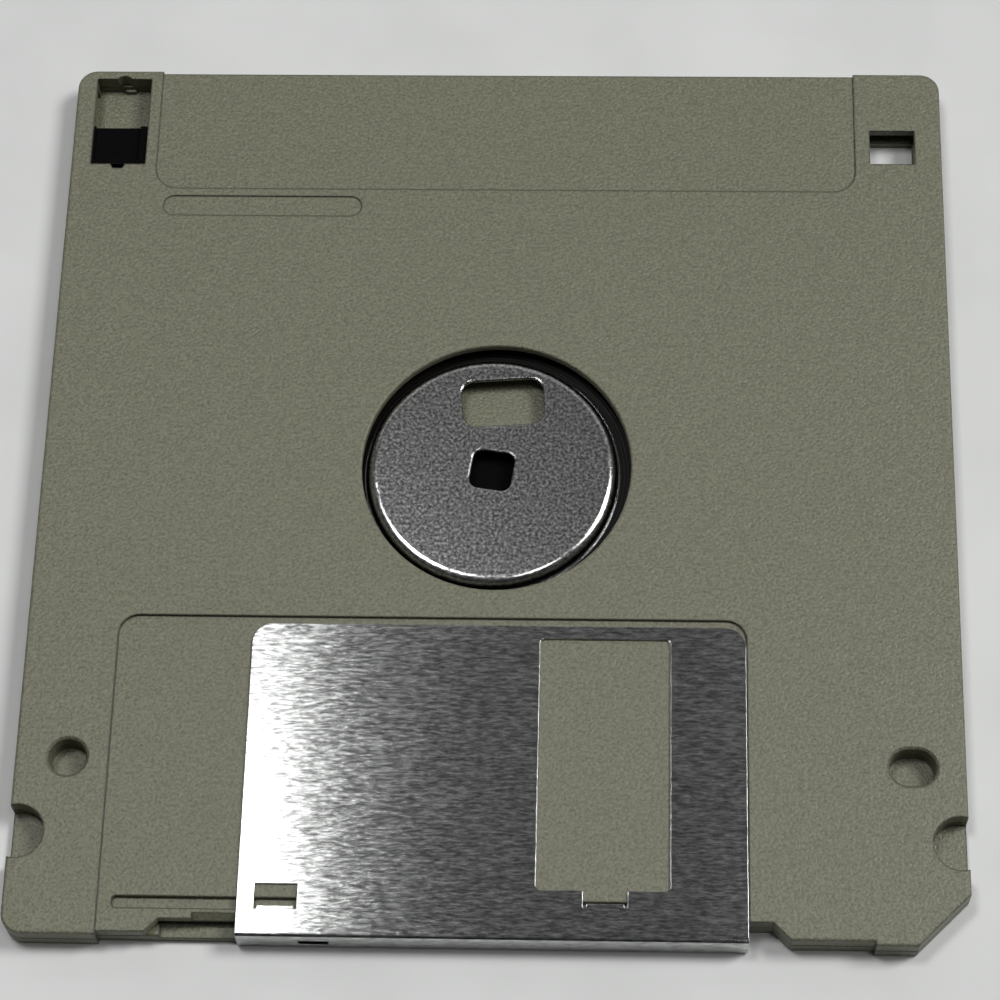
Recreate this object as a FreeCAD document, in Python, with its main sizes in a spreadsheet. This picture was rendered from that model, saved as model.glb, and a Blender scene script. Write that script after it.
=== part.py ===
"""A 3.5-inch floppy disk that lies on its label side, with its hub facing up.

X runs along the shutter's edge, Y runs from the shutter to the label end, and Z is up.
The origin is the middle of the case's lower face. Lengths are in millimetres.
"""

import FreeCAD, Part

import math
import os
from types import SimpleNamespace

import Sketcher

# The driving dimensions. The case is worked out from the film disc that it holds.
SIZES = {
    # film disc and hub
    "film_diameter": 85.8,
    "film_thickness": 0.08,
    "film_play": 0.6,
    "disc_shift_across": 0.45,
    "disc_shift_along": 0.2,
    "cup_diameter": 25.0,
    "cup_sheet": 0.3,
    "cup_face_above_film": 1.36,
    "cup_edge_radius": 1.15,
    "cup_inner_radius": 0.85,
    "flange_width": 3.1,
    "adhesive_thickness": 0.06,
    "adhesive_margin": 0.35,
    "hub_seat_gap": 0.05,
    "centring_hole": 4.1,
    "centring_hole_corner": 0.9,
    "hole_bevel": 0.12,
    "centring_hole_turn": -8.5,
    "drive_hole_length": 8.1,
    "drive_hole_width": 5.0,
    "drive_hole_corner": 1.3,
    "drive_hole_across": 1.45,
    "drive_hole_out": 7.4,
    "drive_hole_turn": 4.0,
    # walls of the case
    "case_thickness": 3.3,
    "plate": 0.85,
    "side_wall": 1.5,
    "front_margin": 4.9,
    "back_margin": 2.1,
    "chamber_rib": 1.0,
    "case_corner": 2.0,
    "case_corner_cut": 5.0,
    "edge_round": 0.25,
    "seam_bevel": 0.1,
    "hub_hole_play": 0.8,
    "hub_hole_round": 0.2,
    # corner blocks, label recess and plain recesses
    "block_width": 8.9,
    "front_step": 0.4,
    "back_step": 0.3,
    "label_depth": 0.12,
    "label_corner": 2.4,
    "hub_side_label_length": 14.2,
    "label_side_label_length": 55.5,
    "pill_depth": 0.12,
    "pill_left": 1.05,
    "pill_length": 20.5,
    "pill_width": 2.3,
    "pill_from_label": 0.9,
    "arrow_length": 5.0,
    "arrow_width": 4.4,
    "arrow_from_side": 6.0,
    "arrow_from_front": 12.0,
    # shutter, its recess and its window
    "shutter_depth": 0.3,
    "shutter_sheet": 0.2,
    "shutter_float": 0.05,
    "shutter_recess_end": 24.5,
    "shutter_side_gap": 0.07,
    "shutter_spare_travel": 2.1,
    "shutter_travel": 10.95,
    "shutter_corner": 2.0,
    "shutter_far_gap": 0.74,
    "shutter_rim": 1.33,
    "shutter_fold_radius": 0.4,
    "shutter_fold_inner": 0.15,
    "head_window_width": 9.2,
    "head_window_from_hub": 5.3,
    "head_window_from_rib": 0.2,
    "head_window_corner": 0.6,
    "shutter_window_across": 1.65,
    "shutter_window_along": 0.22,
    "shutter_window_corner": 0.5,
    # groove in the case and the tabs that run in it
    "groove_width": 1.15,
    "groove_depth": 0.5,
    "groove_from_front": 2.7,
    "groove_left_end": 1.3,
    "groove_right_end": 14.3,
    "tab_drop": 0.4,
    "tab_relief": 0.3,
    "left_tab_from_left": 1.6,
    "left_tab_opening": 4.0,
    "left_tab_opening_depth": 2.15,
    "left_tab_from_front": 3.0,
    "right_tab_from_window": 4.4,
    "right_tab_opening": 4.15,
    "right_tab_from_front": 3.6,
    # tab, hole and channel for the spring
    "spring_tab_across": 8.77,
    "spring_hole_width": 3.0,
    "spring_hole_low": 1.0,
    "spring_hole_high": 2.0,
    "spring_tab_length": 2.5,
    "spring_tab_margin": 0.1,
    "spring_channel_floor": 1.0,
    "spring_channel_roof": 2.1,
    "spring_channel_from_front": 1.6,
    "spring_channel_end": 0.5,
    "spring_channel_right": 1.4,
    # cut-back of the front edge for the shutter's fold and the drive's lever
    "front_cut_depth": 1.3,
    "front_cut_left": 5.8,
    "front_bevel_left": 8.9,
    "front_bevel_width": 0.6,
    "front_bevel_height": 0.9,
    "lever_cut_depth": 1.65,
    "lever_cut_left": 12.4,
    "lever_cut_right": 2.2,
    # holes at the label end and the write-protect slider
    "sensor_from_side": 5.05,
    "sensor_from_back": 8.9,
    "sensor_width": 4.6,
    "sensor_length": 3.95,
    "slider_from_side": 4.85,
    "slider_window_width": 5.7,
    "slider_window_length": 10.3,
    "slider_window_from_back": 1.05,
    "slider_window_notch": 1.5,
    "slider_window_notch_depth": 0.5,
    "slider_window_bay_depth": 0.35,
    "slider_window_bay_radius": 0.98,
    "slider_side_gap": 0.05,
    "slider_near_gap": 0.15,
    "slider_length": 4.55,
    "slider_flange": 0.35,
    "slider_heel": 0.45,
    "slider_flange_top": 2.3,
    "slider_top_gap": 0.3,
    "slider_lip": 0.5,
    "slider_rim": 0.75,
    "slider_dish_depth": 0.4,
    "slider_floor_gap": 0.05,
    "slider_rail": 0.8,
    "slider_rail_gap": 0.1,
    "lug_across": 0.4,
    "lug_width": 1.45,
    "lug_depth": 0.35,
    "lug_height": 0.45,
    # holes that place the disk in a drive, and the finger notches
    "locator_from_side": 5.0,
    "locator_from_front": 17.4,
    "locator_diameter": 3.6,
    "locator_slot_length": 4.4,
    "locator_bevel": 0.22,
    "locator_wall": 1.0,
    "grip_from_front": 9.95,
    "grip_from_side": 0.75,
    "grip_radius": 2.62,
    "grip_wall": 1.1,
    # corner pockets, weld posts, liners and small inner pieces
    "pocket_far_reach": 23.0,
    "pocket_back_inner": 20.0,
    "pocket_front_inner": 14.0,
    "pocket_front_margin": 4.4,
    "post_radius": 1.2,
    "post_from_side": 14.0,
    "post_from_back": 6.6,
    "front_post_from_side": 5.0,
    "front_post_from_front": 23.5,
    "liner_thickness": 0.2,
    "hub_side_liner_play": 1.2,
    "label_side_liner_play": 0.8,
    "liner_window_margin": 0.45,
    "lifter_length": 18.0,
    "lifter_width": 14.0,
    "lifter_sheet": 0.12,
    "lifter_from_window": 3.2,
    "lifter_from_rim": 9.9,
    "lifter_seat_depth": 0.25,
    "lifter_seat_gap": 0.25,
    "wear_plate_diameter": 9.0,
    "wear_plate_thickness": 0.15,
    # spring
    "wire_diameter": 0.34,
    "coil_radius": 1.7,
    "coil_pitch": 0.36,
    "coil_from_front": 8.4,
    "spring_end_from_front": 2.2,
    "spring_end_from_left": 0.9,
    "spring_lift": 0.03,
}


class Size:
    """A length that knows its number and the words of its expression, so that the two agree."""

    def __init__(self, number, words):
        self.number = number
        self.words = words

    def __add__(self, other):
        other = as_size(other)
        return Size(self.number + other.number, f"({self.words} + {other.words})")

    def __sub__(self, other):
        other = as_size(other)
        return Size(self.number - other.number, f"({self.words} - {other.words})")

    def __mul__(self, factor):
        return Size(self.number * factor, f"({self.words} * {factor})")

    def __truediv__(self, factor):
        return Size(self.number / factor, f"({self.words} / {factor})")

    def __neg__(self):
        return Size(-self.number, f"(0 - {self.words})")


def as_size(value):
    """A plain number as a size, so that both can be added."""
    if isinstance(value, Size):
        return value
    return Size(float(value), str(float(value)))


def make_sheet(document):
    """Writes the driving dimensions into a sheet and returns them as named sizes."""
    sheet = document.addObject("Spreadsheet::Sheet", "sizes")
    named = {}
    for row, (alias, value) in enumerate(SIZES.items(), start=1):
        sheet.set(f"A{row}", alias)
        sheet.set(f"B{row}", str(value))
        sheet.setAlias(f"B{row}", alias)
        named[alias] = Size(value, f"sizes.{alias}")
    document.recompute()
    return SimpleNamespace(**named)


doc = FreeCAD.newDocument("floppy_disk")
s = make_sheet(doc)
ZERO = as_size(0)
PAST = as_size(1)

# Places that several pieces share
film_radius = s.film_diameter / 2
chamber_radius = film_radius + s.film_play
half_width = chamber_radius + s.side_wall
half_length = chamber_radius + (s.front_margin + s.back_margin) / 2
hub_y = (s.front_margin - s.back_margin) / 2
front = -half_length
back = half_length
parting = s.case_thickness / 2
track = half_width - s.block_width
front_face = front + s.front_step
back_face = back - s.back_step
plate_top = s.plate
plate_under = s.case_thickness - s.plate

cup_radius = s.cup_diameter / 2
hub_hole_radius = cup_radius + s.hub_hole_play
head_near = hub_y - chamber_radius + s.head_window_from_rib
head_far = hub_y - hub_hole_radius - s.head_window_from_hub
head_half = s.head_window_width / 2

shutter_right = s.shutter_recess_end - s.shutter_side_gap
shutter_left = s.shutter_travel + s.shutter_spare_travel - track
shutter_window_left = s.shutter_travel - head_half - s.shutter_window_across
shutter_window_right = s.shutter_travel + head_half + s.shutter_window_across
shutter_window_near = head_near - s.shutter_window_along
shutter_window_far = head_far + s.shutter_window_along
shutter_far = shutter_window_far + s.shutter_rim
shutter_recess_far = shutter_far + s.shutter_far_gap

groove_far = front + s.groove_from_front + s.groove_width
groove_near = front + s.groove_from_front
groove_left = s.groove_left_end - track
spring_channel_left = s.spring_channel_end - track
front_cut_left = s.front_cut_left - track
spring_tab_right = shutter_left + s.spring_tab_across
spring_channel_right = spring_tab_right + s.spring_channel_right + PAST

sensor_x = half_width - s.sensor_from_side
sensor_y = back - s.sensor_from_back
slider_x = s.slider_from_side - half_width
slider_window_far = back - s.slider_window_from_back
slider_window_near = slider_window_far - s.slider_window_length
locator_x = half_width - s.locator_from_side
locator_y = front + s.locator_from_front
grip_x = half_width - s.grip_from_side
grip_y = front + s.grip_from_front

flange_low = plate_top + s.hub_seat_gap
flange_top = flange_low + s.cup_sheet
film_low = flange_top + s.adhesive_thickness
film_top = film_low + s.film_thickness
cup_top = film_top + s.cup_face_above_film
flange_radius = cup_radius + s.flange_width


def bind(thing, path, size):
    """Ties one property of an object to the sheet."""
    thing.setExpression(path, size.words)


def origin_plane(body, role):
    """The origin plane of a body, found by its role."""
    for feature in body.Origin.OriginFeatures:
        if feature.Role == role:
            return feature
    raise ValueError(role)


def sketch_on(body, name, level, role="XY_Plane"):
    """An empty sketch, raised by level above an origin plane of its body."""
    sketch = body.newObject("Sketcher::SketchObject", name)
    sketch.AttachmentSupport = (origin_plane(body, role), [""])
    sketch.MapMode = "FlatFace"
    sketch.AttachmentOffset = FreeCAD.Placement(FreeCAD.Vector(0, 0, level.number), FreeCAD.Rotation())
    bind(sketch, "AttachmentOffset.Base.z", level)
    return sketch


def add_named(sketch, constraint, size):
    """Adds a constraint and ties its value to a size."""
    index = sketch.addConstraint(constraint)
    name = f"size{index}"
    sketch.renameConstraint(index, name)
    bind(sketch, f"Constraints.{name}", size)


def hold(sketch, shape, point, x, y):
    """Ties a point of a sketch shape to its two coordinates. None leaves one free."""
    for kind, size, axis in (("DistanceX", x, -2), ("DistanceY", y, -1)):
        if size is None:
            continue
        if size.words == ZERO.words:
            sketch.addConstraint(Sketcher.Constraint("PointOnObject", shape, point, axis))
        else:
            add_named(sketch, Sketcher.Constraint(kind, -1, 1, shape, point, size.number), size)


def polygon(sketch, corners):
    """A closed outline of straight lines through corners given as sizes."""
    points = [FreeCAD.Vector(x.number, y.number, 0) for x, y in corners]
    lines = []
    for start, end in zip(points, points[1:] + points[:1]):
        lines.append(sketch.addGeometry(Part.LineSegment(start, end), False))
    for line, following in zip(lines, lines[1:] + lines[:1]):
        sketch.addConstraint(Sketcher.Constraint("Coincident", line, 2, following, 1))
    for line, (x, y) in zip(lines, corners):
        hold(sketch, line, 1, x, y)


def rectangle(sketch, left, right, near, far):
    """A rectangle with sharp corners."""
    polygon(sketch, [(left, near), (right, near), (right, far), (left, far)])


def arc(sketch, x, y, radius, start, end):
    """An arc of a circle, with its angles in degrees."""
    circle_line = Part.Circle(FreeCAD.Vector(x, y, 0), FreeCAD.Vector(0, 0, 1), radius)
    curve = Part.ArcOfCircle(circle_line, math.radians(start), math.radians(end))
    return sketch.addGeometry(curve, False)


def rounded_rectangle(sketch, left, right, near, far, radius):
    """A rectangle whose four corners are arcs of one radius."""
    x_low, x_high = left.number, right.number
    y_low, y_high = near.number, far.number
    r = radius.number
    ends = [
        ((x_low + r, y_low), (x_high - r, y_low)),
        ((x_high, y_low + r), (x_high, y_high - r)),
        ((x_high - r, y_high), (x_low + r, y_high)),
        ((x_low, y_high - r), (x_low, y_low + r)),
    ]
    lines = []
    for start, end in ends:
        segment = Part.LineSegment(FreeCAD.Vector(*start, 0), FreeCAD.Vector(*end, 0))
        lines.append(sketch.addGeometry(segment, False))
    arcs = [
        arc(sketch, x_high - r, y_low + r, r, 270, 360),
        arc(sketch, x_high - r, y_high - r, r, 0, 90),
        arc(sketch, x_low + r, y_high - r, r, 90, 180),
        arc(sketch, x_low + r, y_low + r, r, 180, 270),
    ]
    for line, corner, following in zip(lines, arcs, lines[1:] + lines[:1]):
        sketch.addConstraint(Sketcher.Constraint("Tangent", line, 2, corner, 1))
        sketch.addConstraint(Sketcher.Constraint("Tangent", corner, 2, following, 1))
    for line, kind in zip(lines, ("Horizontal", "Vertical", "Horizontal", "Vertical")):
        sketch.addConstraint(Sketcher.Constraint(kind, line))
    for corner in arcs[1:]:
        sketch.addConstraint(Sketcher.Constraint("Equal", arcs[0], corner))
    add_named(sketch, Sketcher.Constraint("Radius", arcs[0], radius.number), radius)
    hold(sketch, lines[0], 1, None, near)
    hold(sketch, lines[1], 1, right, None)
    hold(sketch, lines[2], 1, None, far)
    hold(sketch, lines[3], 1, left, None)


def circle(sketch, x, y, radius):
    """A full circle."""
    centre = FreeCAD.Vector(x.number, y.number, 0)
    shape = sketch.addGeometry(Part.Circle(centre, FreeCAD.Vector(0, 0, 1), radius.number), False)
    hold(sketch, shape, 3, x, y)
    add_named(sketch, Sketcher.Constraint("Radius", shape, radius.number), radius)


def oblong(sketch, x, y, length, width):
    """A slot with round ends that lies along X."""
    reach = (length - width) / 2
    r = (width / 2).number
    left, right = (x - reach).number, (x + reach).number
    top, low = y.number + r, y.number - r
    upper = sketch.addGeometry(
        Part.LineSegment(FreeCAD.Vector(right, top, 0), FreeCAD.Vector(left, top, 0)), False
    )
    left_end = arc(sketch, left, y.number, r, 90, 270)
    lower = sketch.addGeometry(
        Part.LineSegment(FreeCAD.Vector(left, low, 0), FreeCAD.Vector(right, low, 0)), False
    )
    right_end = arc(sketch, right, y.number, r, 270, 450)
    for first, second in ((upper, left_end), (left_end, lower), (lower, right_end), (right_end, upper)):
        sketch.addConstraint(Sketcher.Constraint("Tangent", first, 2, second, 1))
    sketch.addConstraint(Sketcher.Constraint("Equal", left_end, right_end))
    hold(sketch, left_end, 3, x - reach, y)
    hold(sketch, right_end, 3, x + reach, y)
    add_named(sketch, Sketcher.Constraint("Radius", left_end, r), width / 2)


def pad(body, sketch, height):
    """Raises a sketch into a solid and makes sure that the body grew."""
    before = volume_of(body)
    feature = body.newObject("PartDesign::Pad", sketch.Name + "_pad")
    feature.Profile = sketch
    feature.Length = height.number
    bind(feature, "Length", height)
    doc.recompute()
    if volume_of(body) <= before:
        raise ValueError(f"{feature.Name} added nothing")
    return feature


def pocket(body, sketch, depth):
    """Cuts down from a sketch and makes sure that the body shrank."""
    before = volume_of(body)
    feature = body.newObject("PartDesign::Pocket", sketch.Name + "_pocket")
    feature.Profile = sketch
    feature.Length = depth.number
    bind(feature, "Length", depth)
    doc.recompute()
    if volume_of(body) >= before:
        raise ValueError(f"{feature.Name} cut nothing")
    return feature


def volume_of(body):
    """The volume of a body so far, or 0 while it is empty."""
    if body.Tip is None or body.Shape.isNull():
        return 0
    return body.Shape.Volume


def cut_box(body, name, left, right, near, far, low, high, corner=None):
    """Cuts a straight-walled recess between two heights."""
    sketch = sketch_on(body, name, high)
    if corner is None:
        rectangle(sketch, left, right, near, far)
    else:
        rounded_rectangle(sketch, left, right, near, far, corner)
    return pocket(body, sketch, high - low)


def cut_circle(body, name, x, y, radius, low, high):
    """Cuts a round hole between two heights."""
    sketch = sketch_on(body, name, high)
    circle(sketch, x, y, radius)
    return pocket(body, sketch, high - low)


def cut_polygon(body, name, corners, low, high):
    """Cuts a recess with straight sides between two heights."""
    sketch = sketch_on(body, name, high)
    polygon(sketch, corners)
    return pocket(body, sketch, high - low)


def add_box(body, name, left, right, near, far, low, high):
    """Adds a block between two heights."""
    sketch = sketch_on(body, name, low)
    rectangle(sketch, left, right, near, far)
    return pad(body, sketch, high - low)


def edges_where(feature, wanted):
    """The names of the edges of a feature for which wanted says yes."""
    names = []
    for number, edge in enumerate(feature.Shape.Edges, start=1):
        if wanted(edge):
            names.append(f"Edge{number}")
    return names


def lies_at(edge, level, axis=2):
    """Says whether both ends of an edge have the same given coordinate."""
    tolerance = 1e-5
    return all(abs(vertex.Point[axis] - level.number) < tolerance for vertex in edge.Vertexes)


def dress(body, kind, name, feature, edges, size):
    """Rounds or bevels edges of the last feature."""
    if not edges:
        raise ValueError(f"{name} found no edge")
    dressing = body.newObject(f"PartDesign::{kind}", name)
    dressing.Base = (feature, edges)
    value = "Radius" if kind == "Fillet" else "Size"
    setattr(dressing, value, size.number)
    bind(dressing, value, size)
    doc.recompute()
    return dressing


def new_body(label):
    """An empty body whose label names its file."""
    body = doc.addObject("PartDesign::Body", label)
    body.Label = label
    return body


def corner_pocket(sketch, across, along):
    """One corner space between the outer walls and the round rib of the chamber.

    across is -1 on the left and 1 on the right. along is -1 at the front and 1 at the back.
    """
    rib_radius = chamber_radius + s.chamber_rib
    outer_x = (half_width - s.side_wall) * across
    inner_y = hub_y + s.pocket_far_reach * along
    if along > 0:
        inner_x = s.pocket_back_inner * across
        outer_y = back_face - s.side_wall
    else:
        inner_x = s.pocket_front_inner * across
        outer_y = front + s.pocket_front_margin
    # where the rib meets the two inner sides
    drop = inner_x.number
    reach = inner_y.number - hub_y.number
    rib = rib_radius.number
    at_inner_x = hub_y.number + along * math.sqrt(rib * rib - drop * drop)
    at_inner_y = across * math.sqrt(rib * rib - reach * reach)
    points = [
        (at_inner_y, inner_y.number),
        (outer_x.number, inner_y.number),
        (outer_x.number, outer_y.number),
        (inner_x.number, outer_y.number),
        (inner_x.number, at_inner_x),
    ]
    lines = []
    for start, end in zip(points[:-1], points[1:]):
        segment = Part.LineSegment(FreeCAD.Vector(*start, 0), FreeCAD.Vector(*end, 0))
        lines.append(sketch.addGeometry(segment, False))
    angles = []
    for x, y in (points[-1], points[0]):
        angles.append(math.degrees(math.atan2(y - hub_y.number, x)))
    turns_left = across * along < 0
    first, last = (angles[0], angles[1]) if turns_left else (angles[1], angles[0])
    rib_arc = arc(sketch, 0, hub_y.number, rib, first, last)
    starts_at, ends_at = (1, 2) if turns_left else (2, 1)
    for line, following in zip(lines[:-1], lines[1:]):
        sketch.addConstraint(Sketcher.Constraint("Coincident", line, 2, following, 1))
    sketch.addConstraint(Sketcher.Constraint("Coincident", lines[-1], 2, rib_arc, starts_at))
    sketch.addConstraint(Sketcher.Constraint("Coincident", rib_arc, ends_at, lines[0], 1))
    for line, kind in zip(lines, ("Horizontal", "Vertical", "Horizontal", "Vertical")):
        sketch.addConstraint(Sketcher.Constraint(kind, line))
    hold(sketch, rib_arc, 3, ZERO, hub_y)
    add_named(sketch, Sketcher.Constraint("Radius", rib_arc, rib), rib_radius)
    hold(sketch, lines[0], 2, outer_x, inner_y)
    hold(sketch, lines[2], 2, inner_x, outer_y)


def start_case_half(label, low, high, outer_face, cavity_low, cavity_high):
    """The outline, the rounded outer edge and the hollow that both halves of the case have."""
    body = new_body(label)

    outline = sketch_on(body, label + "_outline", low)
    rounded_rectangle(outline, -half_width, half_width, front, back, s.case_corner)
    pad(body, outline, high - low)
    cut_polygon(
        body,
        label + "_corner_cut",
        [
            (half_width - s.case_corner_cut, front),
            (half_width - s.case_corner_cut, front - PAST),
            (half_width + PAST, front - PAST),
            (half_width + PAST, front + s.case_corner_cut),
            (half_width, front + s.case_corner_cut),
        ],
        low,
        high,
    )
    # the step between the corner blocks, where a label wraps round the end
    cut_box(body, label + "_back_step", -track, track, back_face, back + PAST, low, high)
    outside = cut_box(body, label + "_front_step", -track, track, front - PAST, front_face, low, high)
    longest_step = s.front_step.number * 1.1

    def is_outer_edge(edge):
        return edge.Length > longest_step and lies_at(edge, outer_face)

    edges = edges_where(outside, is_outer_edge)
    rounded = dress(body, "Fillet", label + "_edge_round", outside, edges, s.edge_round)
    edges = edges_where(rounded, lambda edge: lies_at(edge, parting))
    dress(body, "Chamfer", label + "_seam_bevel", rounded, edges, s.seam_bevel)

    chamber = sketch_on(body, label + "_chamber", cavity_high)
    circle(chamber, ZERO, hub_y, chamber_radius)
    pocket(body, chamber, cavity_high - cavity_low)
    pockets = sketch_on(body, label + "_corner_pockets", cavity_high)
    for across in (-1, 1):
        for along in (-1, 1):
            corner_pocket(pockets, across, along)
    pocket(body, pockets, cavity_high - cavity_low)

    add_inner_walls(body, label, cavity_low, cavity_high)
    return body


def add_inner_walls(body, label, low, high):
    """The sockets, notch walls, rail and weld posts that stand in the corner pockets."""
    walls = sketch_on(body, label + "_inner_walls", low)
    socket_radius = s.locator_diameter / 2 + s.locator_wall
    slot_socket = socket_radius + (s.locator_slot_length - s.locator_diameter) / 2
    wall_edge = half_width - s.side_wall / 2
    for across, radius in ((-1, socket_radius), (1, slot_socket)):
        circle(walls, locator_x * across, locator_y, radius)
        inner_edge = (grip_x - s.grip_radius - s.grip_wall) * across
        outer_edge = wall_edge * across
        left, right = (inner_edge, outer_edge) if across > 0 else (outer_edge, inner_edge)
        reach = s.grip_radius + s.grip_wall
        rectangle(walls, left, right, grip_y - reach, grip_y + reach)
        circle(walls, (half_width - s.post_from_side) * across, back - s.post_from_back, s.post_radius)
        circle(
            walls,
            (half_width - s.front_post_from_side) * across,
            front + s.front_post_from_front,
            s.post_radius,
        )
    rail_left = slider_x + s.slider_window_width / 2 + s.slider_flange + s.slider_rail_gap
    rectangle(
        walls,
        rail_left,
        rail_left + s.slider_rail,
        hub_y + s.pocket_far_reach + s.slider_rail,
        back_face - s.side_wall / 2,
    )
    pad(body, walls, high - low)


def cut_shared_openings(body, label, low, high, recess_low, recess_high):
    """The shutter's recess, the head window and the holes that go through both halves."""
    cut_box(
        body,
        label + "_shutter_recess",
        -track,
        s.shutter_recess_end,
        front - s.shutter_corner - PAST,
        shutter_recess_far,
        recess_low,
        recess_high,
        s.shutter_corner,
    )
    cut_box(
        body,
        label + "_head_window",
        -head_half,
        head_half,
        head_near,
        head_far,
        low,
        high,
        s.head_window_corner,
    )
    half_hole = s.sensor_width / 2
    cut_box(
        body,
        label + "_density_hole",
        sensor_x - half_hole,
        sensor_x + half_hole,
        sensor_y - s.sensor_length / 2,
        sensor_y + s.sensor_length / 2,
        low,
        high,
    )


def lever_cut_corners(left):
    """The notch beside the shutter where a drive's lever reaches in."""
    depth = front_face + s.lever_cut_depth
    right = s.shutter_recess_end + s.lever_cut_right
    return [
        (left, depth),
        (left, front - PAST),
        (right + s.lever_cut_depth, front - PAST),
        (right + s.lever_cut_depth, front_face),
        (right, depth),
    ]


def build_hub_side_shell():
    """The upper half of the case."""
    label = "hub_side_shell"
    low, high = parting, s.case_thickness
    body = start_case_half(label, low, high, high, low, plate_under)
    recess_floor = high - s.shutter_depth
    cut_shared_openings(body, label, low, high, recess_floor, high)

    # the front edge stands back for the shutter's fold
    cut_depth = front_face + s.front_cut_depth
    lever_left = s.lever_cut_left
    cut_polygon(
        body,
        "fold_cut",
        [
            (front_cut_left, cut_depth),
            (front_cut_left - s.front_cut_depth, front_face),
            (front_cut_left - s.front_cut_depth, front - PAST),
            (lever_left, front - PAST),
            (lever_left, cut_depth),
        ],
        low,
        high,
    )
    cut_polygon(body, "lever_cut", lever_cut_corners(lever_left), low, high)
    bevel = sketch_on(body, "fold_bevel", lever_left, "YZ_Plane")
    polygon(
        bevel,
        [
            (cut_depth, recess_floor - s.front_bevel_height),
            (cut_depth + s.front_bevel_width, recess_floor),
            (cut_depth, recess_floor),
        ],
    )
    pocket(body, bevel, lever_left + track - s.front_bevel_left)

    # the groove for the shutter's tabs, and the channel for its spring below it
    cut_box(
        body,
        "tab_groove",
        groove_left,
        s.groove_right_end,
        groove_near,
        groove_far,
        recess_floor - s.groove_depth,
        recess_floor,
        s.groove_width * 0.4,
    )
    cut_box(
        body,
        "spring_roof",
        spring_channel_left,
        spring_channel_right,
        front + s.spring_channel_from_front,
        front + s.pocket_front_margin + s.wire_diameter,
        low,
        s.spring_channel_roof,
    )

    # the recess of the label and the plain pill recess beside it
    label_edge = back - s.hub_side_label_length
    cut_box(
        body,
        "label_recess",
        -track,
        track,
        label_edge,
        back + s.label_corner + PAST,
        high - s.label_depth,
        high,
        s.label_corner,
    )
    pill_far = label_edge - s.pill_from_label
    pill_x = s.pill_left + s.pill_length / 2 - track
    pill = sketch_on(body, "pill_recess", high)
    oblong(pill, pill_x, pill_far - s.pill_width / 2, s.pill_length, s.pill_width)
    pocket(body, pill, s.pill_depth)

    hub_hole = cut_circle(body, "hub_hole", ZERO, hub_y, hub_hole_radius, low, high)
    edges = edges_where(hub_hole, lambda edge: is_circle(edge, hub_hole_radius) and lies_at(edge, high))
    dress(body, "Fillet", "hub_hole_round", hub_hole, edges, s.hub_hole_round)

    cut_locators(body, label, low, high)
    cut_grips(body, label, low, high)
    cut_slider_window(body, low, high)
    return body


def is_circle(edge, radius):
    """Says whether an edge is part of a circle of that radius."""
    return isinstance(edge.Curve, Part.Circle) and abs(edge.Curve.Radius - radius.number) < 1e-5


def cut_locators(body, label, low, high):
    """The round hole and the oblong hole that place the disk in a drive."""
    holes = sketch_on(body, label + "_locators", high)
    circle(holes, -locator_x, locator_y, s.locator_diameter / 2)
    oblong(holes, locator_x, locator_y, s.locator_slot_length, s.locator_diameter)
    cut = pocket(body, holes, high - low)
    if label == "label_side_shell":
        return
    reach = (s.locator_slot_length / 2 + s.locator_wall / 2).number

    def at_mouth(edge):
        middle = edge.BoundBox.Center
        near = abs(middle.y - locator_y.number) < reach
        return near and abs(abs(middle.x) - locator_x.number) < reach and lies_at(edge, high)

    dress(body, "Chamfer", "locator_mouths", cut, edges_where(cut, at_mouth), s.locator_bevel)


def cut_grips(body, label, low, high):
    """The half-round notches in the two long sides."""
    grips = sketch_on(body, label + "_grips", high)
    for across in (-1, 1):
        circle(grips, grip_x * across, grip_y, s.grip_radius)
    pocket(body, grips, high - low)


def cut_slider_window(body, low, high):
    """The window of the write-protect slider, with a notch at one end and a round bay at the other."""
    half = s.slider_window_width / 2
    half_notch = s.slider_window_notch / 2
    slope = s.slider_window_notch_depth
    centre = slider_x
    cut_polygon(
        body,
        "slider_window",
        [
            (centre - half, slider_window_near),
            (centre - half_notch, slider_window_near),
            (centre - half_notch + slope / 2, slider_window_near - slope),
            (centre + half_notch - slope / 2, slider_window_near - slope),
            (centre + half_notch, slider_window_near),
            (centre + half, slider_window_near),
            (centre + half, slider_window_far),
            (centre - half, slider_window_far),
        ],
        low,
        high,
    )
    bay_y = slider_window_far + s.slider_window_bay_depth - s.slider_window_bay_radius
    cut_circle(body, "slider_window_bay", centre, bay_y, s.slider_window_bay_radius, low, high)


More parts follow.
